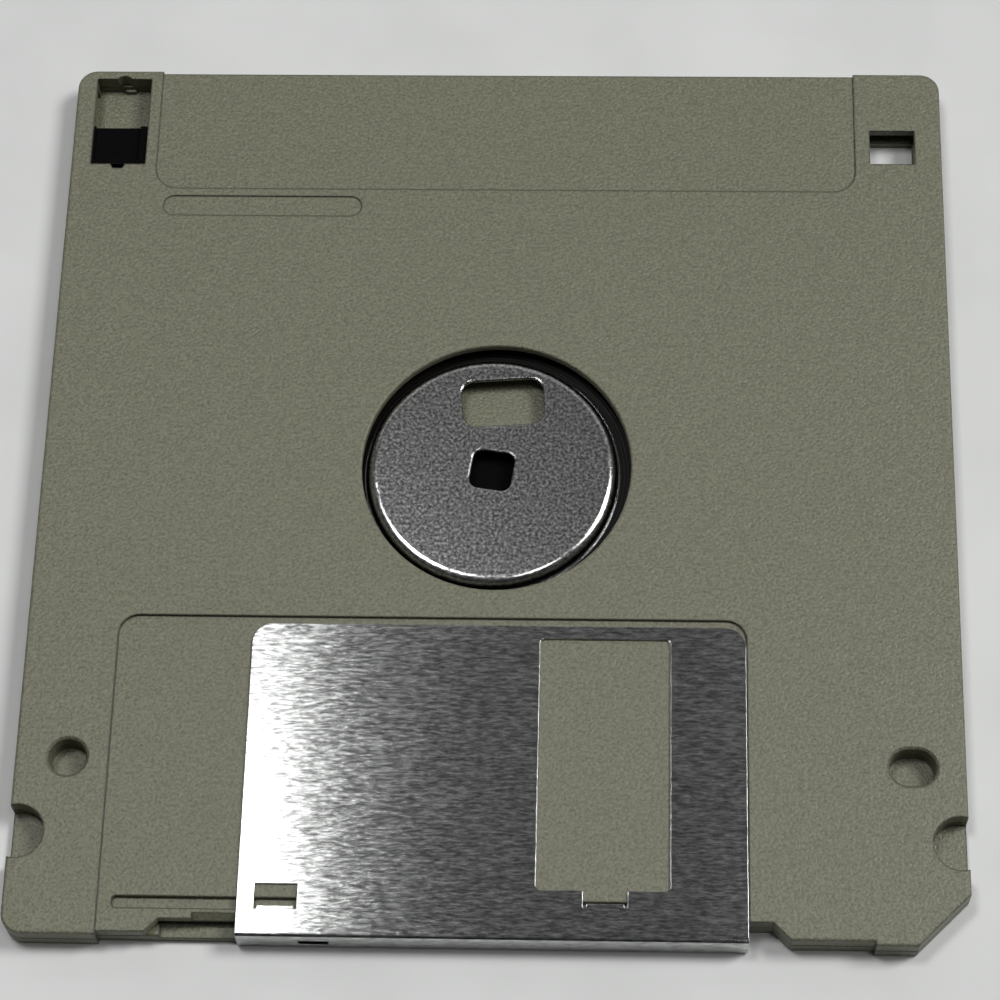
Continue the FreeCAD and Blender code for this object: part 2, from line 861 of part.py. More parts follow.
def build_label_side_shell():
    """The lower half of the case."""
    label = "label_side_shell"
    low, high = ZERO, parting
    body = start_case_half(label, low, high, low, plate_top, high)
    cut_shared_openings(body, label, low, high, low, s.shutter_depth)
    cut_polygon(body, "lower_lever_cut", lever_cut_corners(s.lever_cut_left), low, high)

    # the spring's channel, which is open to the front where the shutter's tab travels
    channel_near = front + s.spring_channel_from_front
    channel_far = front + s.pocket_front_margin + s.wire_diameter
    cut_box(
        body,
        "spring_channel",
        spring_channel_left,
        spring_channel_right,
        channel_near,
        channel_far,
        s.spring_channel_floor,
        high,
    )
    cut_box(
        body,
        "spring_slot",
        front_cut_left,
        spring_channel_right,
        front - PAST,
        channel_near + s.wire_diameter,
        s.spring_channel_floor,
        high,
    )

    label_edge = back - s.label_side_label_length
    cut_box(
        body,
        "lower_label_recess",
        -track,
        track,
        label_edge,
        back + s.label_corner + PAST,
        low,
        s.label_depth,
        s.label_corner,
    )
    arrow_x = s.arrow_from_side - half_width
    arrow_tip = front + s.arrow_from_front
    cut_polygon(
        body,
        "arrow",
        [
            (arrow_x, arrow_tip),
            (arrow_x + s.arrow_width / 2, arrow_tip + s.arrow_length),
            (arrow_x - s.arrow_width / 2, arrow_tip + s.arrow_length),
        ],
        low,
        s.label_depth,
    )
    cut_box(
        body,
        "protect_hole",
        -sensor_x - s.sensor_width / 2,
        -sensor_x + s.sensor_width / 2,
        sensor_y - s.sensor_length / 2,
        sensor_y + s.sensor_length / 2,
        low,
        high,
    )
    cut_locators(body, label, plate_top, high)
    cut_grips(body, label, plate_top, high)
    seat = lifter_seat()
    cut_box(
        body,
        "lifter_seat",
        seat.left - s.lifter_seat_gap,
        seat.right + s.lifter_seat_gap,
        seat.near - s.lifter_seat_gap,
        seat.far + s.lifter_seat_gap,
        plate_top - s.lifter_seat_depth,
        plate_top,
    )
    # the slider's window goes down to the plate, and a small lug stands against its far wall
    cut_box(
        body,
        "slider_window_foot",
        slider_x - s.slider_window_width / 2,
        slider_x + s.slider_window_width / 2,
        back_face - s.side_wall - s.slider_window_bay_depth,
        slider_window_far,
        plate_top,
        high,
    )
    lug_x = slider_x + s.lug_across
    lug_near = slider_window_far - s.lug_depth
    lug = sketch_on(body, "slider_lug", plate_top)
    polygon(
        lug,
        [
            (lug_x - s.lug_width / 3, lug_near),
            (lug_x + s.lug_width / 3, lug_near),
            (lug_x + s.lug_width / 2, slider_window_far),
            (lug_x - s.lug_width / 2, slider_window_far),
        ],
    )
    pad(body, lug, s.lug_height)
    return body


def lifter_seat():
    """Where the leaf that lifts the liner lies on the label-side plate."""
    right = -head_half - s.lifter_from_window
    near = head_near + s.lifter_from_rim
    return SimpleNamespace(
        left=right - s.lifter_length, right=right, near=near, far=near + s.lifter_width
    )


def build_shutter():
    """The folded steel sheet that covers the head window on both sides."""
    body = new_body("shutter")
    leaf_low = s.shutter_float
    leaf_high = s.case_thickness - s.shutter_depth + s.shutter_float + s.shutter_sheet
    upper_under = leaf_high - s.shutter_sheet
    sheet_inner = front + s.shutter_sheet

    outline = sketch_on(body, "shutter_outline", leaf_low)
    rectangle(outline, shutter_left, shutter_right, front, shutter_far)
    block = pad(body, outline, leaf_high - leaf_low)

    def is_far_corner(edge):
        upright = abs(edge.Vertexes[0].Z - edge.Vertexes[-1].Z) > 1
        return upright and lies_at(edge, shutter_far, axis=1)

    corners = dress(
        body, "Fillet", "leaf_corners", block, edges_where(block, is_far_corner), s.shutter_corner
    )

    def is_fold(edge):
        level = abs(edge.Vertexes[0].Z - edge.Vertexes[-1].Z) < 1e-5
        return level and lies_at(edge, front, axis=1)

    dress(body, "Fillet", "fold_round", corners, edges_where(corners, is_fold), s.shutter_fold_radius)
    inside = cut_box(
        body,
        "inside_of_fold",
        shutter_left - PAST,
        shutter_right + PAST,
        sheet_inner,
        shutter_far + PAST,
        leaf_low + s.shutter_sheet,
        upper_under,
    )

    def is_inner_fold(edge):
        long_enough = edge.Length > s.shutter_travel.number
        return long_enough and lies_at(edge, sheet_inner, axis=1)

    inner_edges = edges_where(inside, is_inner_fold)
    dress(body, "Fillet", "inner_fold_round", inside, inner_edges, s.shutter_fold_inner)

    cut_box(
        body,
        "shutter_window",
        shutter_window_left,
        shutter_window_right,
        shutter_window_near,
        shutter_window_far,
        leaf_low,
        leaf_high,
        s.shutter_window_corner,
    )

    # the two tabs that run in the groove, each between two relief cuts
    tab_low = upper_under - s.tab_drop
    left = shutter_left + s.left_tab_from_left
    left_edge = front + s.left_tab_from_front
    cut_tab(body, "left_tab", left, s.left_tab_opening, left_edge, s.left_tab_opening_depth)
    right = shutter_window_left + s.right_tab_from_window
    right_edge = front + s.right_tab_from_front
    opening = shutter_window_near - right_edge
    cut_tab(body, "right_tab", right, s.right_tab_opening, right_edge, opening + s.shutter_corner / 4)
    for name, start, width, edge in (
        ("left_tab", left, s.left_tab_opening, left_edge),
        ("right_tab", right, s.right_tab_opening, right_edge),
    ):
        add_box(
            body,
            name,
            start + s.tab_relief,
            start + width - s.tab_relief,
            edge - s.shutter_sheet,
            edge,
            tab_low,
            leaf_high,
        )

    # the hole in the fold, and the tab that was bent inwards from it to hold the spring
    hole_right = spring_tab_right
    hole_left = hole_right - s.spring_hole_width
    cut_box(
        body,
        "spring_hole",
        hole_left,
        hole_right,
        front - PAST,
        sheet_inner + s.wire_diameter / 4,
        s.spring_hole_low,
        s.spring_hole_high,
    )
    add_box(
        body,
        "spring_tab",
        hole_right - s.shutter_sheet,
        hole_right,
        front,
        front + s.spring_tab_length + s.shutter_sheet,
        s.spring_hole_low + s.spring_tab_margin,
        s.spring_hole_high - s.spring_tab_margin,
    )
    return body


def cut_tab(body, name, left, width, edge, depth):
    """Opens the sheet around a tab: the opening that it was bent from and two relief cuts."""
    leaf_top = s.case_thickness - s.shutter_depth + s.shutter_float + s.shutter_sheet
    leaf_low = leaf_top - s.shutter_sheet
    right = left + width
    relief = edge - s.tab_relief
    inner_left = left + s.tab_relief
    inner_right = right - s.tab_relief
    cut_polygon(
        body,
        name + "_opening",
        [
            (left, relief),
            (inner_left, relief),
            (inner_left, edge),
            (inner_right, edge),
            (inner_right, relief),
            (right, relief),
            (right, edge + depth),
            (left, edge + depth),
        ],
        leaf_low,
        leaf_top,
    )


def build_slider():
    """The write-protect slider, with a dished top and a flange under the case's plate."""
    body = new_body("write_protect_slider")
    centre = slider_x
    half = s.slider_window_width / 2 - s.slider_side_gap
    near = slider_window_near + s.slider_near_gap
    far = near + s.slider_length
    low = plate_top + s.slider_floor_gap
    top = s.case_thickness - s.slider_top_gap
    wide = s.slider_window_width / 2 + s.slider_flange
    heel = near - s.slider_heel
    add_box(body, "slider_flange_plate", centre - wide, centre + wide, heel, far, low, s.slider_flange_top)
    add_box(body, "slider_block", centre - half, centre + half, near, far, s.slider_flange_top, top)
    cut_box(
        body,
        "slider_dish",
        centre - half + s.slider_rim / 4,
        centre + half - s.slider_rim,
        near + s.slider_lip,
        far + PAST,
        top - s.slider_dish_depth,
        top,
    )
    return body


def place_on_disc_axis(body):
    """Sets a piece on the axis of the disc, which lies a little off the middle of its chamber."""
    across = -s.disc_shift_across
    along = hub_y - s.disc_shift_along
    body.Placement = FreeCAD.Placement(
        FreeCAD.Vector(across.number, along.number, 0), FreeCAD.Rotation()
    )
    bind(body, "Placement.Base.x", across)
    bind(body, "Placement.Base.y", along)


def build_hub():
    """The pressed steel cup with its flange, its square hole and its drive hole."""
    body = new_body("hub")
    cup_inside = cup_radius - s.cup_sheet
    section = sketch_on(body, "hub_section", ZERO, "XZ_Plane")
    polygon(
        section,
        [
            (ZERO, cup_top - s.cup_sheet),
            (cup_inside, cup_top - s.cup_sheet),
            (cup_inside, flange_low),
            (flange_radius, flange_low),
            (flange_radius, flange_top),
            (cup_radius, flange_top),
            (cup_radius, cup_top),
            (ZERO, cup_top),
        ],
    )
    turned = body.newObject("PartDesign::Revolution", "hub_turned")
    turned.Profile = section
    turned.ReferenceAxis = (section, ["V_Axis"])
    turned.Angle = 360
    doc.recompute()
    outer = edges_where(turned, lambda edge: is_circle(edge, cup_radius) and lies_at(edge, cup_top))
    rounded = dress(body, "Fillet", "cup_outer_round", turned, outer, s.cup_edge_radius)
    under = cup_top - s.cup_sheet
    inner = edges_where(rounded, lambda edge: is_circle(edge, cup_inside) and lies_at(edge, under))
    dress(body, "Fillet", "cup_inner_round", rounded, inner, s.cup_inner_radius)

    half = s.centring_hole / 2
    square = sketch_on(body, "centring_hole", cup_top)
    rounded_rectangle(square, -half, half, -half, half, s.centring_hole_corner)
    turn_sketch(square, s.centring_hole_turn)
    cut = pocket(body, square, s.cup_sheet * 2)

    def at_square_mouth(edge):
        middle = edge.BoundBox.Center
        near_axis = math.hypot(middle.x, middle.y) < s.centring_hole.number
        return near_axis and lies_at(edge, cup_top)

    mouth = edges_where(cut, at_square_mouth)
    dress(body, "Chamfer", "centring_bevel", cut, mouth, s.hole_bevel)

    drive = sketch_on(body, "drive_hole", cup_top)
    drive_left = s.drive_hole_across - s.drive_hole_length / 2
    drive_near = s.drive_hole_out - s.drive_hole_width / 2
    rounded_rectangle(
        drive,
        drive_left,
        drive_left + s.drive_hole_length,
        drive_near,
        drive_near + s.drive_hole_width,
        s.drive_hole_corner,
    )
    turn_sketch(drive, s.drive_hole_turn)
    cut = pocket(body, drive, s.cup_sheet * 2)

    def at_drive_mouth(edge):
        middle = edge.BoundBox.Center
        off_axis = math.hypot(middle.x, middle.y) > s.centring_hole.number
        return off_axis and lies_at(edge, cup_top)

    dress(body, "Chamfer", "drive_bevel", cut, edges_where(cut, at_drive_mouth), s.hole_bevel)
    place_on_disc_axis(body)
    return body


def turn_sketch(sketch, angle):
    """Turns a sketch about the body's axis by an angle in degrees."""
    base = sketch.AttachmentOffset.Base
    upright = FreeCAD.Vector(0, 0, 1)
    sketch.AttachmentOffset = FreeCAD.Placement(base, FreeCAD.Rotation(upright, angle.number))
    bind(sketch, "AttachmentOffset.Base.z", cup_top)
    bind(sketch, "AttachmentOffset.Rotation.Angle", angle)


def build_ring(label, inner, outer, low, high):
    """A flat ring, or a disc where inner is None."""
    body = new_body(label)
    sketch = sketch_on(body, label + "_outline", low)
    circle(sketch, ZERO, ZERO, outer)
    if inner is not None:
        circle(sketch, ZERO, ZERO, inner)
    pad(body, sketch, high - low)
    return body


def build_liner(label, inner, low):
    """A wiping liner: a ring of thin fabric with a slot for the heads."""
    high = low + s.liner_thickness
    body = new_body(label)
    sketch = sketch_on(body, label + "_outline", low)
    circle(sketch, ZERO, hub_y, film_radius)
    circle(sketch, ZERO, hub_y, inner)
    pad(body, sketch, high - low)
    margin = s.liner_window_margin
    cut_box(
        body,
        label + "_window",
        -head_half - margin,
        head_half + margin,
        hub_y - chamber_radius - PAST,
        head_far + margin,
        low,
        high,
        s.head_window_corner,
    )
    return body


def build_lifter():
    """The bent leaf that presses the label-side liner against the film."""
    body = new_body("liner_lifter")
    seat = lifter_seat()
    low = plate_top - s.lifter_seat_depth
    top = plate_top
    bend = seat.left + s.lifter_length / 2
    side = sketch_on(body, "lifter_side", -seat.far, "XZ_Plane")
    polygon(
        side,
        [
            (seat.left, low),
            (bend, low),
            (seat.right, top - s.lifter_sheet),
            (seat.right, top),
            (bend, low + s.lifter_sheet),
            (seat.left, low + s.lifter_sheet),
        ],
    )
    pad(body, side, s.lifter_width)
    return body


def build_spring():
    """The torsion spring that closes the shutter: two straight legs and a wound coil."""
    wire = s.wire_diameter.number
    radius = s.coil_radius.number
    pitch = s.coil_pitch.number
    low = s.spring_channel_floor.number + wire / 2 + s.spring_lift.number
    fixed_x = spring_channel_left.number + s.spring_end_from_left.number
    moving_x = spring_tab_right.number - s.shutter_sheet.number - wire / 2
    end_y = front.number + s.spring_end_from_front.number
    centre = FreeCAD.Vector((fixed_x + moving_x) / 2, front.number + s.coil_from_front.number, 0)

    # a leg runs into the coil at the place where it is tangent to the winding
    reach = math.hypot(centre.x - fixed_x, centre.y - end_y)
    aim = math.atan2(centre.y - end_y, centre.x - fixed_x)
    spread = math.asin(radius / reach)
    start = aim - spread - math.pi / 2
    finish = math.pi - start
    winding = finish - start
    while winding < 3 * math.pi:
        winding += 2 * math.pi
    height = pitch * winding / (2 * math.pi)

    helix = Part.makeHelix(pitch, height, radius)
    helix.rotate(FreeCAD.Vector(0, 0, 0), FreeCAD.Vector(0, 0, 1), math.degrees(start))
    helix.translate(FreeCAD.Vector(centre.x, centre.y, low))
    first = FreeCAD.Vector(
        centre.x + radius * math.cos(start), centre.y + radius * math.sin(start), low
    )
    last = FreeCAD.Vector(
        centre.x + radius * math.cos(finish), centre.y + radius * math.sin(finish), low + height
    )
    fixed_end = FreeCAD.Vector(fixed_x, end_y, low)
    moving_end = FreeCAD.Vector(moving_x, end_y, low + height)
    path = Part.Wire(
        [Part.makeLine(fixed_end, first)] + helix.Edges + [Part.makeLine(last, moving_end)]
    )
    profile = Part.Wire([Part.makeCircle(wire / 2, fixed_end, first - fixed_end)])
    spring = doc.addObject("Part::Feature", "shutter_spring")
    spring.Label = "shutter_spring"
    spring.Shape = path.makePipeShell([profile], True, True)
    spring.Placement = FreeCAD.Placement()
    expected = math.pi * (wire / 2) ** 2 * path.Length
    print(f"spring: {winding / (2 * math.pi):.2f} turns, volume {spring.Shape.Volume:.3f} of {expected:.3f}")
    return spring


def build_all():
    """Builds every piece of the disk."""
    pieces = [build_hub_side_shell(), build_label_side_shell(), build_shutter(), build_slider()]
    pieces.append(build_hub())
    ring = build_ring(
        "hub_adhesive_ring",
        cup_radius + s.adhesive_margin,
        flange_radius - s.adhesive_margin,
        flange_top,
        film_low,
    )
    film = build_ring("magnetic_disc", cup_radius + s.adhesive_margin / 2, film_radius, film_low, film_top)
    for body in (ring, film):
        place_on_disc_axis(body)
        pieces.append(body)
    pieces.append(
        build_liner("hub_side_liner", hub_hole_radius + s.hub_side_liner_play, plate_under - s.liner_thickness)
    )
    pieces.append(build_liner("label_side_liner", flange_radius + s.label_side_liner_play, plate_top))
    pieces.append(build_lifter())
    wear_plate = build_ring(
        "centre_wear_plate",
        None,
        s.wear_plate_diameter / 2,
        plate_top,
        plate_top + s.wear_plate_thickness,
    )
    wear_plate.Placement = FreeCAD.Placement(FreeCAD.Vector(0, hub_y.number, 0), FreeCAD.Rotation())
    bind(wear_plate, "Placement.Base.y", hub_y)
    pieces.append(wear_plate)
    pieces.append(build_spring())
    return pieces


def check(pieces):
    """Stops before anything is written if an object failed or a piece is not one valid solid."""
    for thing in doc.Objects:
        if "Invalid" in thing.State or "Error" in thing.State:
            raise RuntimeError(f"{thing.Name} failed: {thing.State}")
    for piece in pieces:
        shape = piece.Shape
        if shape.isNull() or not shape.isValid() or len(shape.Solids) != 1:
            raise RuntimeError(f"{piece.Label} is not one valid solid")
        box = shape.BoundBox
        print(
            f"{piece.Label}: {shape.Volume:.1f} mm3, x {box.XMin:.2f} to {box.XMax:.2f}, "
            f"y {box.YMin:.2f} to {box.YMax:.2f}, z {box.ZMin:.2f} to {box.ZMax:.2f}"
        )


pieces = build_all()
doc.recompute()
check(pieces)
os.makedirs("parts", exist_ok=True)
for piece in pieces:
    piece.Shape.exportStep(f"parts/{piece.Label}.step")
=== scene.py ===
# %% [markdown]
# # A 3.5-inch floppy disk
# This lesson dresses a imported CAD model of a floppy disk, which lies on its label side with the
# metal hub facing up. The CAD parts keep their shapes and places. Blender adds the finishes, a new
# spring wire, the table, the lamps and the camera.

# %% Load the frame
import math

import bpy
from mathutils import Matrix, Vector


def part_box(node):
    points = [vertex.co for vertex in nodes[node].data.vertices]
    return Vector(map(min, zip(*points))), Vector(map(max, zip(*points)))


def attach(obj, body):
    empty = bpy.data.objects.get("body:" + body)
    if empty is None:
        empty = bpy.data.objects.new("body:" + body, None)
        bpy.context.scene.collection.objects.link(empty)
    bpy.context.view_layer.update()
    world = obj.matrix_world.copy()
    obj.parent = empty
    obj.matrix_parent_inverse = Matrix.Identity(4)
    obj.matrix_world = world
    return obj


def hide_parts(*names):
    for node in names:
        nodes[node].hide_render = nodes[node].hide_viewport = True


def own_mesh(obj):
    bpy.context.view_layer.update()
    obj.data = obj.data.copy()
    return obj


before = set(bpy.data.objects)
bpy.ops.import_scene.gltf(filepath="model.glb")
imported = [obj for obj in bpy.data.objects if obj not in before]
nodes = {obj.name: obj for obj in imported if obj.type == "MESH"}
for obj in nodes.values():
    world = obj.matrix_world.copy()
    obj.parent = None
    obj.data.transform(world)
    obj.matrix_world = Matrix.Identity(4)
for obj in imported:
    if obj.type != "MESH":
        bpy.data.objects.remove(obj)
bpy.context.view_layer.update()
MM = 0.001

# %% [markdown]
# A finish is a node tree. Small helpers keep the trees short: the first three start a material
# around its shader, add a node with its values, and join two sockets. Every pattern reads Object
# coordinates. The parts sit at the origin, so those are metres on the real disk, and a noise with
# a scale of 5000 has grains of a fifth of a millimetre.


# %% Helpers for finishes
def start_material(name, colour, roughness, metallic=0.0):
    """A new material whose shader has these plain values."""
    material = bpy.data.materials.new(name)
    material.use_nodes = True
    shader = material.node_tree.nodes["Principled BSDF"]
    shader.inputs["Base Color"].default_value = (*colour, 1)
    shader.inputs["Roughness"].default_value = roughness
    shader.inputs["Metallic"].default_value = metallic
    return material, shader


def add_node(material, kind, **values):
    """A node of that kind. A value whose name is an input sets it, and any other sets a property."""
    node = material.node_tree.nodes.new("ShaderNode" + kind)
    for name, value in values.items():
        title = name.replace("_", " ").title()
        if title in node.inputs:
            node.inputs[title].default_value = value
        else:
            setattr(node, name, value)
    return node


def join(material, start, end):
    """Joins an output socket to an input socket."""
    material.node_tree.links.new(start, end)


def stretched_noise(material, stretch, scale, detail=2.0, roughness=0.5):
    """A noise on Object coordinates, stretched along the axes. Returns its value socket."""
    place = add_node(material, "TexCoord")
    turn = add_node(material, "Mapping")
    turn.inputs["Scale"].default_value = stretch
    noise = add_node(material, "TexNoise", scale=scale, detail=detail, roughness=roughness)
    join(material, place.outputs["Object"], turn.inputs["Vector"])
    join(material, turn.outputs["Vector"], noise.inputs["Vector"])
    return noise.outputs["Fac"]


def remap(material, value, low, high, from_low=0.0, from_high=1.0):
    """Moves a value from one range to another, and keeps it inside the new one."""
    node = add_node(material, "MapRange")
    node.inputs["From Min"].default_value = from_low
    node.inputs["From Max"].default_value = from_high
    node.inputs["To Min"].default_value = low
    node.inputs["To Max"].default_value = high
    join(material, value, node.inputs["Value"])
    return node.outputs["Result"]


def soft_edges(material, radius):
    """The direction of a surface whose edges are rounded by that radius in metres."""
    rounded = add_node(material, "Bevel", samples=6, radius=radius)
    return rounded.outputs["Normal"]


def edge_share(material, rounded, sharpest=0.95):
    """A share that is 0 on flat places and 1 at edges, where the rounded direction leans away."""
    place = add_node(material, "NewGeometry")
    lean = add_node(material, "VectorMath", operation="DOT_PRODUCT")
    join(material, place.outputs["Normal"], lean.inputs[0])
    join(material, rounded, lean.inputs[1])
    return remap(material, lean.outputs["Value"], 1.0, 0.0, sharpest, 0.998)


def beyond_axis(material, centre, near, far):
    """A share that is 0 nearer than one distance from an upright axis and 1 past another."""
    place = add_node(material, "TexCoord")
    turn = add_node(material, "Mapping")
    turn.inputs["Location"].default_value = (-centre.x, -centre.y, 0)
    turn.inputs["Scale"].default_value = (1, 1, 0)
    distance = add_node(material, "VectorMath", operation="LENGTH")
    join(material, place.outputs["Object"], turn.inputs["Vector"])
    join(material, turn.outputs["Vector"], distance.inputs[0])
    return remap(material, distance.outputs["Value"], 0.0, 1.0, near, far)


def add_bump(material, shader, height, depth, below=None):
    """Turns a height into bumps of that depth in metres, on top of the direction below it."""
    bump = add_node(material, "Bump", distance=depth)
    join(material, height, bump.inputs["Height"])
    if below is not None:
        join(material, below, bump.inputs["Normal"])
    join(material, bump.outputs["Normal"], shader.inputs["Normal"])
    return bump.outputs["Normal"]


def mix_colours(material, share, first, second):
    """A colour between two, by a share from 0 to 1."""
    mix = add_node(material, "Mix", data_type="RGBA")
    mix.inputs[6].default_value = (*first, 1)
    mix.inputs[7].default_value = (*second, 1)
    join(material, share, mix.inputs[0])
    return mix.outputs[2]


def dress(node, material):
    """Gives a CAD part its finish."""
    slots = nodes[node].data.materials
    slots.clear()
    slots.append(material)


# %% [markdown]
# The case is moulded in ABS from a spark-eroded mould, so its surface is a fine random grain of
# small craters about a quarter of a millimetre wide. Two layers of noise make it: coarse craters
# that mottle the tone, and finer ones that catch the lamps as glints. A moulded edge is never
# quite sharp, so a Bevel node rounds every edge by about a quarter of a millimetre. Where its
# direction leans away from the face there is an edge, and there the colour is darkened as painted
# shade, standing in for the shade that falls on a rounded edge. The mouth round the hub gets no
# painted shade, so that its rim stays light.


# %% The case plastic
CASE_COLOUR = Vector((0.143, 0.143, 0.094))
# How dark the painted edge shade makes the case colour, and the distances from the hub axis inside
# which there is none and past which it is full.
EDGE_SHADE_SHARE = 0.36
CASE_EDGE = 0.28 * MM
UNSHADED_MOUTH_RADIUS = 14.5 * MM
FULL_EDGE_SHADE_RADIUS = 15.5 * MM


def case_plastic():
    material, shader = start_material("case_plastic", CASE_COLOUR, 0.42)
    craters = stretched_noise(material, (1, 1, 1), 3400, detail=2.0, roughness=0.6)
    fine = stretched_noise(material, (1, 1, 1), 9000, detail=2.0, roughness=0.6)
    tint = mix_colours(
        material,
        remap(material, craters, 0.0, 1.0, 0.3, 0.7),
        CASE_COLOUR * 0.70,
        CASE_COLOUR * 1.30,
    )
    rounded = soft_edges(material, CASE_EDGE)
    # Painted shade: where edge_share finds an edge, outside the mouth round the hub, the base colour
    # is mixed towards a darker case colour.
    painted_edge_shade = add_node(material, "Mix", data_type="RGBA")
    painted_edge_shade.inputs[7].default_value = (*(CASE_COLOUR * EDGE_SHADE_SHARE), 1)
    wear_low, wear_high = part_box("centre_wear_plate")
    hub_axis = (wear_low + wear_high) / 2
    outside_mouth = beyond_axis(material, hub_axis, UNSHADED_MOUTH_RADIUS, FULL_EDGE_SHADE_RADIUS)
    share = add_node(material, "Math", operation="MULTIPLY")
    join(material, edge_share(material, rounded), share.inputs[0])
    join(material, outside_mouth, share.inputs[1])
    join(material, share.outputs[0], painted_edge_shade.inputs[0])
    join(material, tint, painted_edge_shade.inputs[6])
    join(material, painted_edge_shade.outputs[2], shader.inputs["Base Color"])
    join(material, remap(material, fine, 0.33, 0.45, 0.3, 0.7), shader.inputs["Roughness"])
    coarse_bumps = add_bump(material, shader, craters, 0.10 * MM, rounded)
    add_bump(material, shader, fine, 0.012 * MM, coarse_bumps)
    return material


case_finish = case_plastic()
for part in ("hub_side_shell", "label_side_shell"):
    dress(part, case_finish)
print("case finish on", case_finish.users, "parts")

# %% [markdown]
# The shutter is stainless steel sheet that was brushed along its length before it was pressed. The
# brush leaves fine straight scratches along X, so the noise is stretched along X. A scratched
# surface tilts across its scratches and not along them, so the lamp's image spreads along Y and
# stays narrow along X. The shader's anisotropy does that, turned a quarter from a tangent along X.


# %% The brushed shutter
def brushed_steel():
    material, shader = start_material("brushed_steel", (0.60, 0.60, 0.59), 0.3, 1.0)
    shader.inputs["Anisotropic"].default_value = 0.9
    shader.inputs["Anisotropic Rotation"].default_value = 0.25
    along = add_node(material, "CombineXYZ", x=1.0)
    join(material, along.outputs["Vector"], shader.inputs["Tangent"])
    scratches = stretched_noise(material, (0.2, 1, 1), 6000, detail=3.0, roughness=0.7)
    streaks = stretched_noise(material, (0.22, 1, 1), 4200, detail=3.0, roughness=0.7)
    tone = mix_colours(
        material,
        remap(material, streaks, 0.0, 1.0, 0.3, 0.7),
        (0.24, 0.245, 0.24),
        (0.78, 0.79, 0.78),
    )
    join(material, tone, shader.inputs["Base Color"])
    join(material, remap(material, streaks, 0.12, 0.20, 0.3, 0.7), shader.inputs["Roughness"])
    add_bump(material, shader, scratches, 0.002 * MM, soft_edges(material, 0.12 * MM))
    return material


dress("shutter", brushed_steel())
print("shutter brushed along X")

# %% [markdown]
# The hub is pressed from satin stainless steel. It has no direction: its surface is a grain of
# little facets, which look speckled under a lamp.


# %% The satin hub
def satin_steel():
    material, shader = start_material("satin_steel", (0.45, 0.45, 0.46), 0.2, 1.0)
    facets = stretched_noise(material, (1, 1, 1), 3300, detail=2.0, roughness=0.6)
    tone = mix_colours(
        material,
        remap(material, facets, 0.0, 1.0, 0.32, 0.68),
        (0.22, 0.222, 0.22),
        (0.66, 0.665, 0.655),
    )
    join(material, tone, shader.inputs["Base Color"])
    join(material, remap(material, facets, 0.15, 0.21, 0.3, 0.7), shader.inputs["Roughness"])
    add_bump(material, shader, facets, 0.004 * MM, soft_edges(material, 0.26 * MM))
    return material


dress("hub", satin_steel())
print("hub in satin steel")

# %% [markdown]
# The slider and the wear plate under the hub are black plastic. The slider is satin and a little
# scuffed, because fingernails move it. The wear plate is smooth.


# %% Black plastics
def black_plastic(name, roughness):
    material, shader = start_material(name, (0.003, 0.003, 0.0035), roughness)
    shader.inputs["Specular IOR Level"].default_value = 0.05
    scuffs = stretched_noise(material, (1, 1, 1), 2200, detail=2.0)
    join(
        material,
        remap(material, scuffs, roughness - 0.03, roughness + 0.04, 0.35, 0.65),
        shader.inputs["Roughness"],
    )
    add_bump(material, shader, scuffs, 0.002 * MM, soft_edges(material, 0.1 * MM))
    return material


dress("write_protect_slider", black_plastic("slider_plastic", 0.22))
dress("centre_wear_plate", black_plastic("wear_plate_plastic", 0.18))
print("slider and wear plate in black plastic")

# %% [markdown]
# The film has a dark brown magnetic coating, polished so smooth that it mirrors. It shows only when
# the shutter opens. A faint ring pattern comes from the heads that run round it, and so it is
# drawn as waves round the disc's own axis.


# %% The film disc and its adhesive
def coated_film():
    material, shader = start_material("coated_film", (0.004, 0.0035, 0.003), 0.25)
    shader.inputs["Specular IOR Level"].default_value = 0.3
    low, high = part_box("magnetic_disc")
    place = add_node(material, "TexCoord")
    centre = add_node(material, "Mapping")
    centre.inputs["Location"].default_value = -(low + high) / 2
    rings = add_node(
        material, "TexWave", wave_type="RINGS", rings_direction="Z", scale=900, distortion=0.4
    )
    join(material, place.outputs["Object"], centre.inputs["Vector"])
    join(material, centre.outputs["Vector"], rings.inputs["Vector"])
    join(material, remap(material, rings.outputs["Fac"], 0.21, 0.28), shader.inputs["Roughness"])
    return material


def adhesive():
    material, shader = start_material("adhesive_film", (0.32, 0.30, 0.24), 0.5)
    grain = stretched_noise(material, (1, 1, 1), 1500)
    join(material, remap(material, grain, 0.4, 0.6), shader.inputs["Roughness"])
    return material


dress("magnetic_disc", coated_film())
dress("hub_adhesive_ring", adhesive())
print("film and adhesive dressed")

# %% [markdown]
# The liners are unwoven fabric: short pale fibres pressed into a thin sheet. Two stretched noises
# at right angles stand for fibres that lie every way. The lifter is clear polyester sheet.


# %% Liners and lifter
def liner_fabric():
    material, shader = start_material("liner_fabric", (0.72, 0.72, 0.69), 0.9)
    along = stretched_noise(material, (0.12, 1, 1), 4000, detail=2.0)
    across = stretched_noise(material, (1, 0.12, 1), 4000, detail=2.0)
    both = add_node(material, "Math", operation="MAXIMUM")
    join(material, along, both.inputs[0])
    join(material, across, both.inputs[1])
    share = remap(material, both.outputs[0], 0.0, 1.0, 0.4, 0.7)
    join(
        material,
        mix_colours(material, share, (0.52, 0.52, 0.49), (0.80, 0.80, 0.77)),
        shader.inputs["Base Color"],
    )
    add_bump(material, shader, both.outputs[0], 0.05 * MM)
    return material


def polyester_sheet():
    material, shader = start_material("polyester_sheet", (0.55, 0.55, 0.52), 0.25)
    haze = stretched_noise(material, (1, 1, 1), 700)
    join(material, remap(material, haze, 0.2, 0.34), shader.inputs["Roughness"])
    return material


liner = liner_fabric()
for part in ("hub_side_liner", "label_side_liner"):
    dress(part, liner)
dress("liner_lifter", polyester_sheet())
print("liners and lifter dressed")
